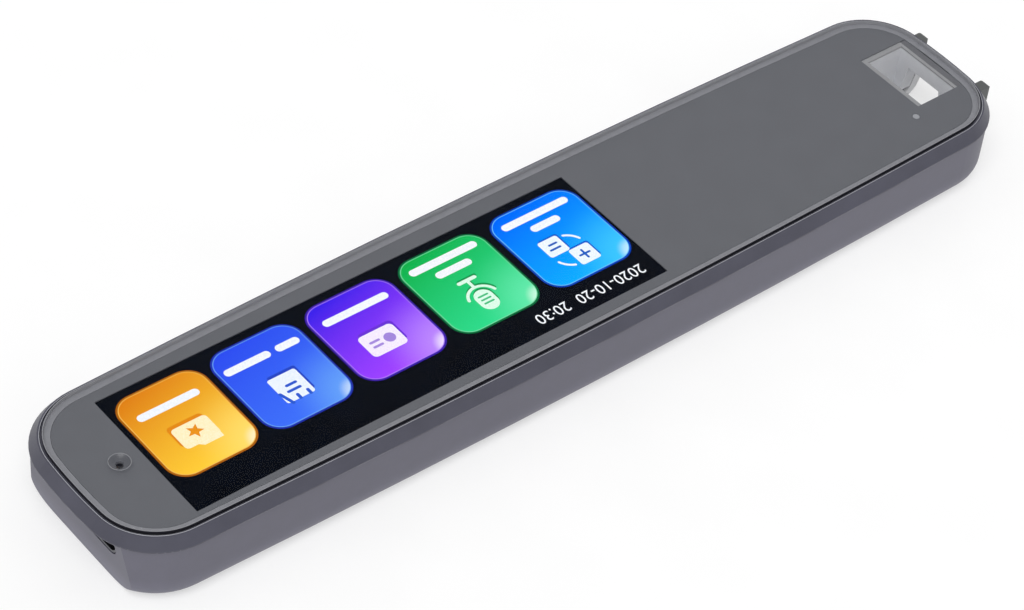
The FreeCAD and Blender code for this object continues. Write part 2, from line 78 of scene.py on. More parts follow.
def linear(value):
    value = value / 255
    if value <= 0.04045:
        return value / 12.92
    return ((value + 0.055) / 1.055) ** 2.4


def rgb(red, green, blue):
    """Colour written as it looks on a screen, 0 to 255."""
    return (linear(red), linear(green), linear(blue), 1.0)


def grey(level):
    return (level, level, level, 1.0)


def shade(colour, factor):
    return tuple(min(1.0, channel * factor) for channel in colour[:3]) + (1.0,)


# Materials

def new_material(name):
    material = bpy.data.materials.new(name)
    material.use_nodes = True
    tree = material.node_tree
    tree.nodes.clear()
    output = tree.nodes.new("ShaderNodeOutputMaterial")
    return material, tree, output


def link(tree, source, output, target, socket):
    tree.links.new(source.outputs[output], target.inputs[socket])


def noise(tree, scale, detail=2.0, roughness=0.5, stretch=None):
    coord = tree.nodes.new("ShaderNodeTexCoord")
    texture = tree.nodes.new("ShaderNodeTexNoise")
    texture.inputs["Scale"].default_value = scale
    texture.inputs["Detail"].default_value = detail
    texture.inputs["Roughness"].default_value = roughness
    if stretch is None:
        link(tree, coord, "Object", texture, "Vector")
    else:
        mapping = tree.nodes.new("ShaderNodeMapping")
        mapping.inputs["Scale"].default_value = stretch
        link(tree, coord, "Object", mapping, "Vector")
        link(tree, mapping, "Vector", texture, "Vector")
    return texture


def ramp(tree, stops):
    node = tree.nodes.new("ShaderNodeValToRGB")
    elements = node.color_ramp.elements
    elements[0].position = stops[0][0]
    elements[0].color = stops[0][1]
    elements[1].position = stops[-1][0]
    elements[1].color = stops[-1][1]
    for position, colour in stops[1:-1]:
        element = elements.new(position)
        element.color = colour
    return node


def value_range(tree, low, high):
    node = tree.nodes.new("ShaderNodeMapRange")
    node.inputs["To Min"].default_value = low
    node.inputs["To Max"].default_value = high
    return node


def grained(name, colour, roughness=0.5, spread=0.05, mottle=700.0, grain=5200.0, depth=0.000012,
            metallic=0.0, specular=0.5, coat=0.0, stretch=None):
    """Moulded or cast surface: slow colour mottle, uneven gloss and a fine raised grain."""
    material, tree, output = new_material(name)
    shader = tree.nodes.new("ShaderNodeBsdfPrincipled")
    shader.inputs["Metallic"].default_value = metallic
    shader.inputs["Specular IOR Level"].default_value = specular
    if coat > 0:
        shader.inputs["Coat Weight"].default_value = coat
        shader.inputs["Coat Roughness"].default_value = coat_roughness
    slow = noise(tree, mottle, 3.0, 0.55, stretch)
    tone = ramp(tree, [(0.3, shade(colour, 1 - spread)), (0.7, shade(colour, 1 + spread))])
    link(tree, slow, "Fac", tone, "Fac")
    link(tree, tone, "Color", shader, "Base Color")
    gloss = value_range(tree, max(0.02, roughness - gloss_spread), min(1.0, roughness + gloss_spread))
    link(tree, slow, "Fac", gloss, "Value")
    link(tree, gloss, "Result", shader, "Roughness")
    fine = noise(tree, grain, 2.0, 0.5, stretch)
    bump = tree.nodes.new("ShaderNodeBump")
    bump.inputs["Strength"].default_value = grain_strength
    bump.inputs["Distance"].default_value = depth
    link(tree, fine, "Fac", bump, "Height")
    link(tree, bump, "Normal", shader, "Normal")
    link(tree, shader, "BSDF", output, "Surface")
    return material


def maths(tree, operation, first, second=0.0):
    """Sum, product or test of two values, each a number or what another node gives."""
    node = tree.nodes.new("ShaderNodeMath")
    node.operation = operation
    for index, item in enumerate((first, second)):
        if isinstance(item, (int, float)):
            node.inputs[index].default_value = item
        else:
            tree.links.new(item, node.inputs[index])
    return node.outputs[0]


def colour_mix(tree, factor, first, second, blend="MIX"):
    """Mix of two colours, each written out or what another node gives."""
    node = tree.nodes.new("ShaderNodeMix")
    node.data_type = "RGBA"
    node.blend_type = blend
    for socket, item in (("Factor", factor), ("A", first), ("B", second)):
        if isinstance(item, (int, float, tuple)):
            node.inputs[socket].default_value = item
        else:
            tree.links.new(item, node.inputs[socket])
    return node.outputs["Result"]


def axes(tree, space):
    """X, Y and Z of a place on the surface."""
    coord = tree.nodes.new("ShaderNodeTexCoord")
    split = tree.nodes.new("ShaderNodeSeparateXYZ")
    link(tree, coord, space, split, "Vector")
    return split.outputs


def base_of(material):
    """A grained finish's node tree, its shader, and what feeds its base colour."""
    tree = material.node_tree
    shader = next(node for node in tree.nodes if node.type == "BSDF_PRINCIPLED")
    return tree, shader, shader.inputs["Base Color"].links[0].from_socket


def by_height(material, low, high, foot_factor, top_factor):
    """Tints a grained finish by the height in metres on the object, from its foot to its top."""
    tree, shader, base = base_of(material)
    level = tree.nodes.new("ShaderNodeMapRange")
    level.interpolation_type = "SMOOTHSTEP"
    level.inputs["From Min"].default_value = low
    level.inputs["From Max"].default_value = high
    tree.links.new(axes(tree, "Object")["Z"], level.inputs["Value"])
    tint = ramp(tree, [(0.0, grey(foot_factor)), (1.0, grey(top_factor))])
    link(tree, level, "Result", tint, "Fac")
    tinted = colour_mix(tree, 1.0, base, tint.outputs["Color"], "MULTIPLY")
    tree.links.new(tinted, shader.inputs["Base Color"])


def painted_in(material, colour, start_x, half_y, top_z):
    """Paints a grained finish beyond start_x, within half_y of the middle and below top_z, in metres."""
    tree, shader, base = base_of(material)
    place = axes(tree, "Object")
    beyond = maths(tree, "GREATER_THAN", place["X"], start_x)
    within = maths(tree, "LESS_THAN", maths(tree, "ABSOLUTE", place["Y"]), half_y)
    below = maths(tree, "LESS_THAN", place["Z"], top_z)
    inside = maths(tree, "MULTIPLY", maths(tree, "MULTIPLY", beyond, within), below)
    tree.links.new(colour_mix(tree, inside, base, colour), shader.inputs["Base Color"])


def clear_sheet(name, tint, roughness, haze, gloss_share):
    """Thin clear sheet with a low-glare coat: light goes straight through, and only its outer faces shine."""
    material, tree, output = new_material(name)
    through = tree.nodes.new("ShaderNodeBsdfTransparent")
    through.inputs["Color"].default_value = tint
    shine = tree.nodes.new("ShaderNodeBsdfGlossy")
    shine.inputs["Color"].default_value = grey(1.0)
    wipe = noise(tree, wipe_scale, 3.0, 0.6)
    gloss = value_range(tree, roughness, roughness + haze)
    link(tree, wipe, "Fac", gloss, "Value")
    link(tree, gloss, "Result", shine, "Roughness")
    fresnel = tree.nodes.new("ShaderNodeFresnel")
    fresnel.inputs["IOR"].default_value = acrylic_ior
    geometry = tree.nodes.new("ShaderNodeNewGeometry")
    front = maths(tree, "SUBTRACT", 1.0, geometry.outputs["Backfacing"])
    amount = maths(tree, "MULTIPLY", fresnel.outputs["Fac"], front)
    mix = tree.nodes.new("ShaderNodeMixShader")
    tree.links.new(maths(tree, "MULTIPLY", amount, gloss_share), mix.inputs["Fac"])
    tree.links.new(through.outputs["BSDF"], mix.inputs[1])
    tree.links.new(shine.outputs["BSDF"], mix.inputs[2])
    link(tree, mix, "Shader", output, "Surface")
    return material


def lit(name, low, high):
    """Evenly lit print on the screen, with the faint cell pattern of a display."""
    material, tree, output = new_material(name)
    emission = tree.nodes.new("ShaderNodeEmission")
    emission.inputs["Strength"].default_value = print_glow
    cells = noise(tree, cell_scale, 1.0, 0.4)
    tone = ramp(tree, [(0.35, low), (0.65, high)])
    link(tree, cells, "Fac", tone, "Fac")
    link(tree, tone, "Color", emission, "Color")
    link(tree, emission, "Emission", output, "Surface")
    return material


def lit_from(name, colour, share):
    """Lit print whose darker cells are a share of its colour."""
    return lit(name, shade(colour, share), colour)


def tile_gradient(name, far_colour, near_colour, tip_colour, glow_colour):
    """Screen tile that runs from a deep far side to a light near side, with a glow at its near tip corner."""
    material, tree, output = new_material(name)
    emission = tree.nodes.new("ShaderNodeEmission")
    emission.inputs["Strength"].default_value = tile_glow
    place = axes(tree, "Generated")
    along = place["X"]
    across = place["Y"]
    near_share = 0.8
    along_share = 0.2
    near = maths(tree, "MULTIPLY", maths(tree, "SUBTRACT", 1.0, across), near_share)
    slope = maths(tree, "ADD", near, maths(tree, "MULTIPLY", along, along_share))
    tone = ramp(tree, [(0.05, far_colour), (0.9, near_colour)])
    tree.links.new(slope, tone.inputs["Fac"])
    aside = maths(tree, "SUBTRACT", along, 1.0)
    aside_square = maths(tree, "MULTIPLY", aside, aside)
    across_square = maths(tree, "MULTIPLY", across, across)
    reach = maths(tree, "SQRT", maths(tree, "ADD", aside_square, across_square))

    def lightened(under, colour, start, end, amount):
        """Colour that fades out between two distances from the near tip corner."""
        fade = ramp(tree, [(start, grey(1.0)), (end, grey(0.0))])
        fade.color_ramp.interpolation = "EASE"
        tree.links.new(reach, fade.inputs["Fac"])
        return colour_mix(tree, maths(tree, "MULTIPLY", fade.outputs["Color"], amount), under, colour)

    wide = lightened(tone.outputs["Color"], tip_colour, start=0.0, end=0.75, amount=0.75)
    tight = lightened(wide, glow_colour, start=0.08, end=0.2, amount=0.85)
    tree.links.new(tight, emission.inputs["Color"])
    link(tree, emission, "Emission", output, "Surface")
    return material


# Finishes of the added pieces, then those of the solid model's nodes by material slot
lens_print_grey = rgb(99, 101, 107)
band_grey = rgb(76, 76, 89)
body_grey = rgb(106, 105, 118)
clear_lens = clear_sheet("clear_lens", (0.99, 0.99, 0.99, 1), 0.04, 0.04, 0.12)
# The bowl in the lens: frosted gloss, and a darker tint that is painted shade
dimple_frost_and_shade = clear_sheet("dimple_frost_and_shade", (0.78, 0.78, 0.8, 1), 0.25, 0.1, 0.8)
# Outer side of the clear lens: painted shade, dark where the groove's shade shows
lens_wall_shade_paint = grained("lens_wall_shade_paint", rgb(40, 40, 49), 0.3, 0.08, 500.0, 3000.0, 0.000004)
edge_light_grey = rgb(150, 151, 156)
# Pale inner face of the lens's edge: painted light
lens_edge_light_paint = grained("lens_edge_light_paint", edge_light_grey, 0.3, 0.05, 500.0, 3000.0, 0.000004)
# Light ring round the bowl's edge: painted highlight
dimple_highlight_paint = grained("dimple_highlight_paint", edge_light_grey, 0.3, 0.04, 600.0, 4000.0, 0.000002)
strip_finish = grained("strip_finish", rgb(104, 105, 110), 0.7, 0.06, 900.0, 3000.0, 0.00001)
# Light line along the band's lower edge: painted highlight
band_highlight_paint = grained("band_highlight_paint", rgb(150, 150, 160), 0.35, 0.04, 600.0, 4000.0, 0.000002)
# Bright line along the lip's inner edge: painted highlight
lip_highlight_paint = grained("lip_highlight_paint", rgb(172, 173, 180), 0.25, 0.04, 600.0, 4000.0, 0.000002)
finishes = {
    "clear_lens": clear_lens,
    "lens_print": grained("lens_print", lens_print_grey, 0.6, 0.03, 260.0, 4200.0, 0.000004),
    "lens_glue": grained("lens_glue", rgb(136, 137, 143), 0.5, 0.06, 900.0, 3000.0, 0.000006),
    "casing_band": grained("casing_band", band_grey, 0.42, 0.1, 160.0, 7000.0, 0.00001),
    "casing_body": grained("casing_body", body_grey, 0.5, 0.04, 420.0, 6500.0, 0.00001),
    "display_glass": grained("display_glass", rgb(2, 6, 17), 0.35, 0.25, 300.0, 2500.0, 0.000002,
                             specular=0.03),
    "white_plastic": grained("white_plastic", rgb(232, 233, 232), 0.5),
    "flex_amber": grained("flex_amber", rgb(176, 112, 38), 0.35, 0.08),
    "board_green": grained("board_green", rgb(24, 84, 52), 0.4, 0.12),
    "chip_black": grained("chip_black", rgb(28, 28, 31), 0.45, 0.1),
    "shield_steel": grained("shield_steel", rgb(190, 191, 194), 0.32, 0.05, metallic=1.0,
                            stretch=(1, 12, 12)),
    "screw_steel": grained("screw_steel", rgb(172, 173, 178), 0.3, 0.06, metallic=1.0),
    "antenna_copper": grained("antenna_copper", rgb(196, 122, 80), 0.3, 0.06, metallic=1.0),
    "socket_steel": grained("socket_steel", rgb(96, 97, 102), 0.35, 0.05, metallic=1.0),
    "button_plastic": grained("button_plastic", rgb(78, 78, 86), 0.42, 0.05, 500.0, 7000.0),
    "rubber_black": grained("rubber_black", rgb(26, 26, 28), 0.75, 0.1),
    "mic_metal": grained("mic_metal", rgb(150, 140, 112), 0.35, 0.06, metallic=1.0),
    "battery_wrap": grained("battery_wrap", rgb(196, 198, 204), 0.35, 0.05, 300.0),
    "foam_grey": grained("foam_grey", rgb(70, 72, 76), 0.9, 0.12, 1600.0, 3000.0, 0.00004),
    "speaker_black": grained("speaker_black", rgb(32, 32, 35), 0.5, 0.1),
    "mesh_black": grained("mesh_black", rgb(20, 20, 22), 0.7, 0.2, 1800.0, 2600.0, 0.00003),
    "chamber_grey": grained("chamber_grey", rgb(222, 223, 227), 0.55, 0.04, 500.0, 6000.0),
    "camera_black": grained("camera_black", rgb(24, 24, 26), 0.4, 0.1),
    "camera_glass": grained("camera_glass", rgb(14, 12, 30), 0.08, 0.2, coat=1.0),
    "lamp_white": grained("lamp_white", rgb(244, 240, 214), 0.4, 0.04),
    "light_pipe": grained("light_pipe", rgb(158, 160, 166), 0.35, 0.03),
    "trigger_grey": grained("trigger_grey", rgb(90, 92, 92), 0.5, 0.05, 600.0, 6500.0),
    "spring_steel": grained("spring_steel", rgb(178, 180, 184), 0.28, 0.04, metallic=1.0),
}

# Painted light: the body is lighter at its foot as floor bounce, and the walls of its aperture are painted
# pale like lit white ground. The chamber's rim is darker
foot_low = 0.0002
foot_high = 0.0045
foot_bounce_light = 1.45
aperture_start = 0.0684
aperture_half = 0.00483
aperture_top = 0.00823
aperture_painted_light = rgb(236, 236, 238)
rim_depth = 0.0004
rim_blend = 0.0001
rim_dark = 0.42
chamber_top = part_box("scan_chamber")[1].z
# Painted bounce light: the body's colour is lifted towards its foot
by_height(finishes["casing_body"], foot_low, foot_high, foot_bounce_light, 1.0)
# Painted light: the shaded walls of the aperture are painted near white, like the lit ground seen through it
painted_in(finishes["casing_body"], aperture_painted_light, aperture_start, aperture_half, aperture_top)
by_height(finishes["chamber_grey"], chamber_top - rim_depth, chamber_top - rim_blend, 1.0, rim_dark)
for entry in frame["record"]["subparts"]:
    mesh = nodes[entry["node"]].data
    mesh.materials.clear()
    mesh.materials.append(finishes[entry["material_slot"]])


# Mesh helpers

def finished(name, mesh_data, material, body):
    piece = bpy.data.objects.new(name, mesh_data)
    bpy.context.scene.collection.objects.link(piece)
    mesh_data.materials.append(material)
    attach(piece, body)
    return piece


def mesh_of(work, name):
    """Turns the normals outwards and stores the work as a mesh."""
    bmesh.ops.recalc_face_normals(work, faces=work.faces)
    data = bpy.data.meshes.new(name)
    work.to_mesh(data)
    work.free()
    return data


def plate(name, shapes, bottom, top, material):
    """Thin plates of the given shapes, in millimetres from the middle of the lens, between two heights."""
    work = bmesh.new()
    for shape in shapes:
        low = [work.verts.new(((x - whole_shift) * MM, y * MM, bottom * MM)) for x, y in shape]
        high = [work.verts.new(((x - whole_shift) * MM, y * MM, top * MM)) for x, y in shape]
        work.faces.new(list(reversed(low)))
        work.faces.new(high)
        count = len(shape)
        for index in range(count):
            following = (index + 1) % count
            work.faces.new((low[index], low[following], high[following], high[index]))
    return finished(name, mesh_of(work, name), material, "casing")


def rounded(x0, x1, y0, y1, radius, steps=10):
    """Rectangle with round corners, counter-clockwise."""
    corners = [(x1 - radius, y1 - radius, 0), (x0 + radius, y1 - radius, 90),
               (x0 + radius, y0 + radius, 180), (x1 - radius, y0 + radius, 270)]
    points = []
    for x, y, start in corners:
        for step in range(steps + 1):
            angle = math.radians(start + 90 * step / steps)
            points.append((x + radius * math.cos(angle), y + radius * math.sin(angle)))
    return points


def disc(x, y, radius, steps=32):
    turns = [2 * math.pi * step / steps for step in range(steps)]
    return [(x + radius * math.cos(turn), y + radius * math.sin(turn)) for turn in turns]


def band(points, half):
    """Round-ended strip along a polyline."""
    left, right = [], []
    for index, (x, y) in enumerate(points):
        before = points[max(index - 1, 0)]
        after = points[min(index + 1, len(points) - 1)]
        direction = Vector((after[0] - before[0], after[1] - before[1])).normalized()
        across = Vector((-direction.y, direction.x)) * half
        left.append((x + across.x, y + across.y))
        right.append((x - across.x, y - across.y))
    start = Vector((points[0][0] - points[1][0], points[0][1] - points[1][1])).normalized()
    finish = Vector((points[-1][0] - points[-2][0], points[-1][1] - points[-2][1])).normalized()

    def cap(centre, direction):
        base = math.atan2(direction.y, direction.x)
        turns = [base - math.pi / 2 + math.pi * step / 6 for step in range(1, 6)]
        return [(centre[0] + half * math.cos(turn), centre[1] + half * math.sin(turn)) for turn in turns]

    return right + cap(points[-1], finish) + list(reversed(left)) + cap(points[0], start)


def circle_arc(x, y, radius, start, end, steps=16):
    turns = [math.radians(start + (end - start) * step / steps) for step in range(steps + 1)]
    return [(x + radius * math.cos(turn), y + radius * math.sin(turn)) for turn in turns]


def placed(shape, x, y):
    """Shape drawn upright round the origin, set on the screen, whose own up is towards -Y."""
    return [(x - u, y - v) for u, v in shape]


# Outline of the lens, moved outwards by grow, counter-clockwise from the middle of the tip
half_length = 75.0
half_width = 14.5
side_radius = 2300.0
end_radius = 80.0
corner_radius = 8.5


def outline(grow, end_steps=10, corner_steps=16, side_steps=30):
    side = side_radius + grow
    end = end_radius + grow
    corner = corner_radius + grow
    side_centre = Vector((0, half_width + grow - side))
    end_centre = Vector((half_length + grow - end, 0))
    across = end_centre - side_centre
    span = across.length
    along = ((side - corner) ** 2 - (end - corner) ** 2 + span ** 2) / (2 * span)
    lift = math.sqrt((side - corner) ** 2 - along ** 2)
    unit = across / span
    centre = side_centre + unit * along + Vector((unit.y, -unit.x)) * lift
    to_side = (centre - side_centre) / (side - corner)
    to_end = (centre - end_centre) / (end - corner)
    end_turn = math.atan2(to_end.y, to_end.x)
    side_turn = math.atan2(to_side.y, to_side.x)
    quarter = []
    for step in range(end_steps):
        angle = end_turn * step / end_steps
        quarter.append((end_centre.x + end * math.cos(angle), end * math.sin(angle)))
    for step in range(corner_steps):
        angle = end_turn + (side_turn - end_turn) * step / corner_steps
        quarter.append((centre.x + corner * math.cos(angle), centre.y + corner * math.sin(angle)))
    for step in range(side_steps + 1):
        angle = side_turn + (math.pi / 2 - side_turn) * step / side_steps
        quarter.append((side * math.cos(angle), side_centre.y + side * math.sin(angle)))
    half = quarter + [(-x, y) for x, y in reversed(quarter[:-1])]
    points = half + [(x, -y) for x, y in reversed(half[1:-1])]
    return [(x - whole_shift, y) for x, y in points]


def loop(work, points, level):
    return [work.verts.new((x * MM, y * MM, level * MM)) for x, y in points]


def bridge(work, lower, upper, smooth=True, index=0):
    """Faces between two rings that have as many points. The index is the one of their material."""
    count = len(lower)
    for step in range(count):
        following = (step + 1) % count
        face = work.faces.new((lower[step], lower[following], upper[following], upper[step]))
        face.smooth = smooth
        face.material_index = index


def flat_fill(work, loops, up):
    """Flat face with holes: the loops lie in one plane."""
    edges = []
    for ring in loops:
        count = len(ring)
        for step in range(count):
            pair = (ring[step], ring[(step + 1) % count])
            edges.append(work.edges.get(pair) or work.edges.new(pair))
    made = bmesh.ops.triangle_fill(work, use_beauty=True, use_dissolve=False, edges=edges)
    for face in made["geom"]:
        if isinstance(face, bmesh.types.BMFace):
            face.normal_update()
            if (face.normal.z > 0) != up:
                face.normal_flip()
            face.smooth = False


# Clear lens with a rounded top edge, sides painted dark as shade, and a bowl with the microphone hole in it,
# tinted darker as painted shade. Its underside stays clear of the print's top.
under_gap = 0.012
lens_low, lens_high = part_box("cover_lens")
lens_top = lens_high.z / MM
lens_under = lens_low.z / MM + under_gap
lens_round = 0.22
round_steps = 6
mic_x = -68.3 - whole_shift
dimple_radius = 1.45
dimple_depth = 0.5
mic_hole_radius = 0.5
dimple_ball = (dimple_radius ** 2 + dimple_depth ** 2) / (2 * dimple_depth)
ball_centre = lens_top - dimple_depth + dimple_ball
dimple_steps = 8
dimple_sides = 64

work = bmesh.new()
rings = [loop(work, outline(0), lens_under)]
for step in range(round_steps + 1):
    angle = math.pi / 2 * step / round_steps
    grow = -lens_round * (1 - math.cos(angle))
    rings.append(loop(work, outline(grow), lens_top - lens_round * (1 - math.sin(angle))))
bridge(work, rings[0], rings[1], index=2)
for lower, upper in zip(rings[1:], rings[2:]):
    bridge(work, lower, upper)
bowl = []
for step in range(dimple_steps + 1):
    radius = dimple_radius + (mic_hole_radius - dimple_radius) * step / dimple_steps
    level = ball_centre - math.sqrt(dimple_ball ** 2 - radius ** 2)
    bowl.append(loop(work, disc(mic_x, 0, radius, dimple_sides), level))
for upper, lower in zip(bowl, bowl[1:]):
    bridge(work, lower, upper, index=1)
hole_end = loop(work, disc(mic_x, 0, mic_hole_radius, dimple_sides), lens_under)
bridge(work, hole_end, bowl[-1], index=1)
flat_fill(work, [rings[-1], bowl[0]], True)
flat_fill(work, [rings[0], hole_end], False)
lens_data = mesh_of(work, "lens_sheet")
lens_sheet = finished("lens_sheet", lens_data, clear_lens, "casing")
lens_data.materials.append(dimple_frost_and_shade)
lens_data.materials.append(lens_wall_shade_paint)
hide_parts("cover_lens")

# Painted light: a pale sheet just inside the lens's dark edge, seen through the clear sheet as the edge's lit
# inner face
edge_light_gap = 0.02
edge_light_wall = 0.1
edge_light_low = lens_under + 0.02
edge_light_high = lens_top - lens_round - 0.02
edge_light_inner = -edge_light_gap - edge_light_wall
section = ((-edge_light_gap, edge_light_low), (-edge_light_gap, edge_light_high),
           (edge_light_inner, edge_light_high), (edge_light_inner, edge_light_low))
work = bmesh.new()
edge_light_rings = [loop(work, outline(grow), level) for grow, level in section]
for first, second in zip(edge_light_rings, edge_light_rings[1:] + edge_light_rings[:1]):
    bridge(work, first, second, smooth=False)
finished("lens_edge_light_sheet", mesh_of(work, "lens_edge_light_sheet"), lens_edge_light_paint, "casing")

# Coil springs that push the sensing feet out
for side in ("near", "far"):
    spring = nodes["trigger_spring_" + side]
    coil_data = spring.data.copy()
    coil_data.materials.clear()
    coil = finished("tip_coil_" + side, coil_data, finishes["spring_steel"], "casing")
    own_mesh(coil)
    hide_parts("trigger_spring_" + side)

# Grey print behind the lens, open over the screen, the window and the status light
print_low, print_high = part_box("lens_mask")
clear_border = 1.1
screen_x0 = -64.8 - whole_shift
screen_x1 = 12.2 - whole_shift
screen_far = 10.9
screen_near = -11.75
screen_corner = 0.15
window_x0 = 64.8 - whole_shift
window_half = 6.05
light_x = 63.0 - whole_shift
light_y = -7.5
light_hole = 0.55
edge_points = [(x, y) for x, y in outline(-clear_border) if not (x > 0 and abs(y) < window_half)]
tip_x = next(x for x, y in edge_points if x > window_x0 - clear_border and y > 0)
edge_points = [(window_x0, -window_half), (window_x0, window_half), (tip_x, window_half)] + edge_points
edge_points.append((tip_x, -window_half))
screen_hole = rounded(screen_x0, screen_x1, screen_near, screen_far, screen_corner, 3)
print_holes = [screen_hole, disc(mic_x, 0, mic_hole_radius, 48), disc(light_x, light_y, light_hole, 32)]
print_top = print_high.z / MM
print_bottom = print_low.z / MM
work = bmesh.new()
upper = [loop(work, points, print_top) for points in [edge_points] + print_holes]
lower = [loop(work, points, print_bottom) for points in [edge_points] + print_holes]
for low_ring, high_ring in zip(lower, upper):
    bridge(work, low_ring, high_ring, smooth=False)
flat_fill(work, upper, True)
flat_fill(work, lower, False)
print_data = mesh_of(work, "lens_print")
lens_print = finished("lens_print", print_data, finishes["lens_print"], "casing")
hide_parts("lens_mask")


# Painted highlights: beads round the dimple and along the band's lower edge, and a bright line along the
# lip's inner edge

def tube(name, points, radius, material, sides=8):
    """Thin round bead along a closed line of points."""
    work = bmesh.new()
    count = len(points)
    sections = []
    for index in range(count):
        here = Vector(points[index])
        tangent = (Vector(points[(index + 1) % count]) - Vector(points[index - 1])).normalized()
        outward_side = tangent.cross(Vector((0, 0, 1))).normalized()
        section = []
        for side in range(sides):
            angle = 2 * math.pi * side / sides
            offset = outward_side * (radius * math.cos(angle)) + Vector((0, 0, radius * math.sin(angle)))
            section.append(work.verts.new((here + offset) * MM))
        sections.append(section)
    for index in range(count):
        bridge(work, sections[index], sections[(index + 1) % count])
    return finished(name, mesh_of(work, name), material, "casing")


def raised(points, level):
    return [(x, y, level) for x, y in points]


dimple_bead_radius = 0.04
lip_drop = 0.6
lip_level = lens_top - lip_drop
groove_width = 0.35
glint_offset = 0.03
glint_radius = 0.055
band_low = 9.45
band_grow = 1.7
edge_radius = 0.05
edge_inset = 0.055
dimple_ring = raised(disc(mic_x, 0, dimple_radius, dimple_sides), lens_top - dimple_bead_radius)
lip_ring = raised(outline(groove_width + glint_offset), lip_level)
edge_ring = raised(outline(band_grow - edge_inset), band_low + edge_radius)
tube("dimple_edge_highlight", dimple_ring, dimple_bead_radius, dimple_highlight_paint)
tube("lip_glint", lip_ring, glint_radius, lip_highlight_paint)
tube("band_edge_highlight", edge_ring, edge_radius, band_highlight_paint)

# Foam strip that closes the slot between the scanning chamber and the clear rim of the lens
chamber_front = 72.8
strip_gap = 0.02
strip_end = 73.85
strip_half = window_half - strip_gap
strip_top = 10.84
strip_bottom = 10.3
strip_corner = 0.1
strip = rounded(chamber_front + strip_gap, strip_end, -strip_half, strip_half, strip_corner, 3)
plate("window_strip", [strip], strip_bottom, strip_top, strip_finish)

# Screen content: five tiles between the panel and the lens
panel_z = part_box("display_panel")[1].z / MM
panel_gap = 0.005
rim_height = 0.03
tile_step = 0.02
print_step = 0.01
rim_level = panel_z + rim_height
line_level = rim_level + tile_step
face_level = line_level + tile_step
shadow_level = face_level + print_step
icon_level = shadow_level + print_step
mark_level = icon_level + print_step

tile_near = -6.6
tile_far = 9.6
tiles = {
    "orange": (-63.9, -50.3, rgb(222, 128, 20), rgb(255, 206, 56), rgb(255, 226, 120), rgb(255, 240, 200)),
    "blue": (-49.3, -35.3, rgb(44, 76, 238), rgb(62, 112, 248), rgb(112, 176, 247), rgb(196, 218, 250)),
    "violet": (-34.2, -20.0, rgb(58, 32, 232), rgb(160, 66, 255), rgb(198, 156, 255), rgb(240, 226, 255)),
    "green": (-18.8, -4.3, rgb(16, 176, 76), rgb(46, 218, 140), rgb(112, 238, 182), rgb(206, 250, 226)),
    "azure": (-3.1, 11.8, rgb(0, 104, 255), rgb(10, 172, 255), rgb(72, 208, 255), rgb(200, 236, 255)),
}
rim_colours = {
    "orange": (rgb(176, 98, 16), rgb(250, 196, 90)),
    "blue": (rgb(34, 52, 176), rgb(110, 168, 250)),
    "violet": (rgb(60, 32, 170), rgb(178, 130, 255)),
    "green": (rgb(12, 110, 62), rgb(120, 230, 170)),
    "azure": (rgb(8, 66, 190), rgb(110, 200, 255)),
}
tile_corner = 3.1
rim_width = 0.28
line_width = 0.12
for name, (x0, x1, far_colour, near_colour, tip_colour, glow_colour) in tiles.items():
    rim_colour, line_colour = rim_colours[name]
    rim_print = lit_from("rim_" + name, rim_colour, 0.9)
    line_print = lit_from("line_" + name, line_colour, 0.9)
    face_print = tile_gradient("face_" + name, far_colour, near_colour, tip_colour, glow_colour)
    layers = (
        ("tile_rim_", 0.0, panel_z + panel_gap, rim_level, rim_print),
        ("tile_line_", rim_width, rim_level, line_level, line_print),
        ("tile_face_", rim_width + line_width, line_level, face_level, face_print),
    )
    for layer, inset, bottom, top, material in layers:
        shape = rounded(x0 + inset, x1 - inset, tile_near + inset, tile_far - inset, tile_corner - inset)
        plate(layer + name, [shape], bottom, top, material)

# Plain white bars in the far half of the tiles
label_half = 0.62
label_corner = 0.6
label_gap = 0.9
white_print = lit("white_print", rgb(232, 240, 250), rgb(255, 255, 255))


def labels(name, x, rows):
    """Rows of bars round x. A row lists its bars from the tip side."""
    bars = []
    for y, lengths in rows:
        end = x + (sum(lengths) + label_gap * (len(lengths) - 1)) / 2
        for length in lengths:
            bars.append(rounded(end - length, end, y - label_half, y + label_half, label_corner, 5))
            end -= length + label_gap
    plate("label_" + name, bars, face_level, icon_level, white_print)


labels("orange", -57.3, [(5.3, [9.4])])
labels("blue", -42.4, [(5.7, [3.7, 7.2])])
labels("violet", -27.1, [(5.9, [10.6])])
labels("green", -11.5, [(7.1, [11.3]), (4.8, [5.9])])
labels("azure", 4.4, [(7.1, [11.4]), (4.8, [4.9])])


# Generic pictograms in the near half of the tiles

def icon(name, shadow, base, marks, shadow_colour, base_colours, mark_colour):
    shadow_finish = lit_from("icon_shadow_" + name, shadow_colour, 0.92)
    base_finish = lit("icon_" + name, base_colours[0], base_colours[1])
    mark_finish = lit_from("icon_mark_" + name, mark_colour, 0.9)
    plate("icon_shadow_" + name, shadow, face_level, shadow_level, shadow_finish)
    plate("icon_" + name, base, shadow_level, icon_level, base_finish)
    plate("icon_mark_" + name, marks, icon_level, mark_level, mark_finish)


def placed_all(shapes, x, y):
    return [placed(shape, x, y) for shape in shapes]


def star(radius, inner):
    points = []
    for index in range(10):
        reach = radius if index % 2 == 0 else inner
        angle = math.radians(90 + 36 * index)
        points.append((reach * math.cos(angle), reach * math.sin(angle)))
    return points


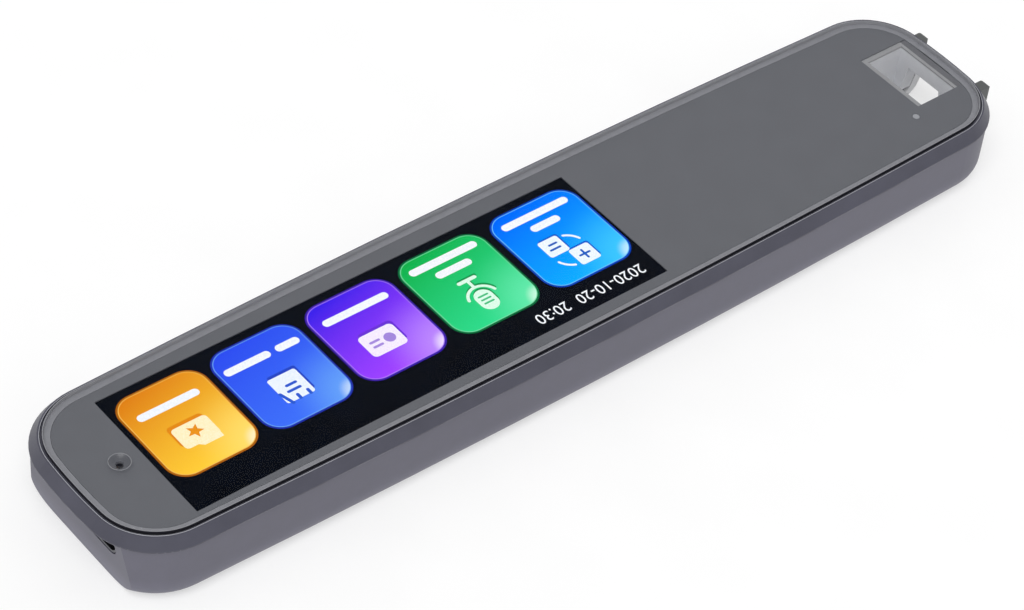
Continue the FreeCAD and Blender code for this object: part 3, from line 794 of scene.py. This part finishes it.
card = rounded(-2.7, 2.7, -1.95, 1.95, 0.6, 6)
flap = [(-2.6, 1.5), (-2.6, 2.5), (0.3, 2.5), (1.3, 1.6)]
icon("star_card", [placed(card, -57.4, 0.1)], placed_all([card, flap], -57.1, -0.5),
     [placed(star(1.25, 0.55), -57.1, -0.3)],
     rgb(232, 140, 24), (rgb(255, 236, 180), rgb(255, 248, 214)), rgb(240, 150, 30))
sheet = rounded(-2.2, 2.2, -2.4, 2.4, 0.35, 6)
pen_stroke = band([(2.1, 0.5), (1.5, 2.6)], 0.24)
tear_marks = [band([(x, 1.7), (x, 2.4)], 0.24) for x in (-1.4, 0.2)]
lines = [band([(-0.9, 0.7), (0.9, 0.7)], 0.22), band([(-0.9, -0.3), (0.5, -0.3)], 0.22)]
icon("page", [placed(sheet, -42.1, -0.2)], [placed(sheet, -42.4, -0.7)],
     placed_all(lines + tear_marks + [pen_stroke], -42.4, -0.7),
     rgb(40, 72, 200), (rgb(226, 238, 255), rgb(246, 250, 255)), rgb(46, 92, 214))
wide_card = rounded(-2.8, 2.8, -2.1, 2.1, 0.7, 6)
rows = [band([(0.4, 0.5), (1.7, 0.5)], 0.2), band([(0.4, -0.4), (1.7, -0.4)], 0.2), disc(-1.1, 0.05, 0.85)]
icon("card", [placed(wide_card, -27.3, -0.2)], [placed(wide_card, -27.6, -0.7)],
     placed_all(rows, -27.6, -0.7),
     rgb(108, 52, 220), (rgb(240, 226, 255), rgb(252, 246, 255)), rgb(168, 140, 226))
capsule = rounded(-1.4, 1.4, -0.75, 3.2, 1.39, 8)
cradle = band(circle_arc(0, 0.8, 2.25, 195, 345), 0.22)
stem = band([(0, -1.6), (0, -2.9)], 0.24)
foot = band([(-1.3, -3.1), (1.3, -3.1)], 0.3)
ticks = [band([(-0.7, y), (0.7, y)], 0.15) for y in (0.4, 1.1, 1.8)]
microphone_parts = [capsule, cradle, stem, foot]
icon("microphone", placed_all(microphone_parts, -11.3, -0.8),
     placed_all(microphone_parts, -11.5, -1.1), placed_all(ticks, -11.5, -1.1),
     rgb(22, 150, 80), (rgb(206, 250, 222), rgb(236, 255, 244)), rgb(70, 196, 130))
small_card = rounded(-1.65, 1.65, -1.65, 1.65, 0.4, 6)
swap = [band(circle_arc(0, 0, 2.9, 22, 68, 10), 0.18), band(circle_arc(0, 0, 2.9, 202, 248, 10), 0.18)]
card_places = ((2.4, 0.6), (5.1, -2.8))
pair = [placed(small_card, x, y) for x, y in card_places]
pair += placed_all(swap, 3.75, -1.1)
cross = [band([(-0.8, 0), (0.8, 0)], 0.17), band([(0, -0.8), (0, 0.8)], 0.17)]
bars = [band([(-0.8, 0.45), (0.8, 0.45)], 0.17), band([(-0.8, -0.45), (0.4, -0.45)], 0.17)]
pair_marks = placed_all(cross, *card_places[1]) + placed_all(bars, *card_places[0])
pair_shadow = [placed(small_card, x + 0.25, y + 0.3) for x, y in card_places]
icon("pair", pair_shadow, pair, pair_marks,
     rgb(10, 96, 214), (rgb(226, 242, 255), rgb(250, 253, 255)), rgb(30, 96, 200))

# Date and time in plain numerals along the near edge of the screen
clock_height = 2.6
text_data = bpy.data.curves.new("clock", "FONT")
text_data.body = "2020-10-20  20:30"
text_data.size = clock_height * MM
text_data.space_character = 1.02
text_data.align_x = "LEFT"
text_data.align_y = "CENTER"
text_object = bpy.data.objects.new("clock_text", text_data)
bpy.context.scene.collection.objects.link(text_object)
bpy.context.view_layer.update()
evaluated_text = text_object.evaluated_get(bpy.context.evaluated_depsgraph_get())
clock_mesh = bpy.data.meshes.new_from_object(evaluated_text)
bpy.data.objects.remove(text_object)
clock_start = (9.9 - whole_shift, -9.2)
low_x = min(vertex.co.x for vertex in clock_mesh.vertices)
high_x = max(vertex.co.x for vertex in clock_mesh.vertices)
clock_length = 18.4 * MM
stretch = clock_length / (high_x - low_x)
for vertex in clock_mesh.vertices:
    vertex.co.x = clock_start[0] * MM - (vertex.co.x - low_x) * stretch
    vertex.co.y = clock_start[1] * MM - vertex.co.y
    vertex.co.z = icon_level * MM
finished("clock_numerals", clock_mesh, white_print, "casing")

# Camera
camera_data = bpy.data.cameras.new("camera")
camera_data.sensor_width = 36.0
camera_data.sensor_fit = "HORIZONTAL"
camera_data.lens = 117.767
camera = bpy.data.objects.new("camera", camera_data)
bpy.context.scene.collection.objects.link(camera)
azimuth = math.radians(-133.43122)
elevation = math.radians(43.81460)
roll = math.radians(6.51784)
distance = 442.2974
target = Vector((-10.02966 - whole_shift, -5.71963, 11.8))
level_reach = math.cos(elevation)
outward = Vector((level_reach * math.cos(azimuth), level_reach * math.sin(azimuth), math.sin(elevation)))
position = (target + outward * distance) * MM
forward = -outward
right = forward.cross(Vector((0, 0, 1))).normalized()
upward = right.cross(forward)
turned_right = right * math.cos(roll) + upward * math.sin(roll)
turned_up = upward * math.cos(roll) - right * math.sin(roll)
rotation = Matrix((turned_right, turned_up, -forward)).transposed()
camera.matrix_world = Matrix.Translation(position) @ rotation.to_4x4()
camera_data.clip_start = 0.01
camera_data.clip_end = 10.0
bpy.context.scene.camera = camera

# Floor, just clear of the object's flat base. It looks lifted towards white, but lights the object plainly.
floor_half = 3.0
floor_z = -0.00005
floor_grain = 60.0
floor_lift = 0.52
corner_signs = ((-1, -1), (1, -1), (1, 1), (-1, 1))
floor_corners = [(x * floor_half, y * floor_half, floor_z) for x, y in corner_signs]
floor_data = bpy.data.meshes.new("floor")
floor_data.from_pydata(floor_corners, [], [(0, 1, 2, 3)])
floor = bpy.data.objects.new("floor", floor_data)
bpy.context.scene.collection.objects.link(floor)
floor_material, tree, output = new_material("floor")
paper = noise(tree, floor_grain, 2.0)
bounce_tone = ramp(tree, [(0.3, grey(0.78)), (0.7, grey(0.8))])
seen_tone = ramp(tree, [(0.3, grey(0.5)), (0.7, grey(0.52))])
link(tree, paper, "Fac", bounce_tone, "Fac")
link(tree, paper, "Fac", seen_tone, "Fac")
bounce = tree.nodes.new("ShaderNodeBsdfDiffuse")
link(tree, bounce_tone, "Color", bounce, "Color")
shadowed = tree.nodes.new("ShaderNodeBsdfDiffuse")
link(tree, seen_tone, "Color", shadowed, "Color")
lift = tree.nodes.new("ShaderNodeEmission")
lift.inputs["Strength"].default_value = floor_lift
seen_floor = tree.nodes.new("ShaderNodeAddShader")
tree.links.new(shadowed.outputs["BSDF"], seen_floor.inputs[0])
tree.links.new(lift.outputs["Emission"], seen_floor.inputs[1])
rays = tree.nodes.new("ShaderNodeLightPath").outputs
camera_or_gloss = maths(tree, "MAXIMUM", rays["Is Camera Ray"], rays["Is Glossy Ray"])
any_view = maths(tree, "MAXIMUM", camera_or_gloss, rays["Is Transmission Ray"])
choose = tree.nodes.new("ShaderNodeMixShader")
tree.links.new(any_view, choose.inputs["Fac"])
tree.links.new(bounce.outputs["BSDF"], choose.inputs[1])
tree.links.new(seen_floor.outputs["Shader"], choose.inputs[2])
link(tree, choose, "Shader", output, "Surface")
floor_data.materials.append(floor_material)

# Light: an even pale sky and a wide soft sun from above
world = bpy.data.worlds.new("world")
bpy.context.scene.world = world
world.use_nodes = True
sky = world.node_tree.nodes["Background"]
sky.inputs["Color"].default_value = grey(1.0)
sky.inputs["Strength"].default_value = 0.55
sun_data = bpy.data.lights.new("sun", "SUN")
sun_data.energy = 1.45
sun_data.angle = math.radians(40)
sun = bpy.data.objects.new("sun", sun_data)
sun.rotation_euler = (math.radians(18), math.radians(-22), 0)
bpy.context.scene.collection.objects.link(sun)

bpy.context.scene.view_settings.view_transform = "Standard"
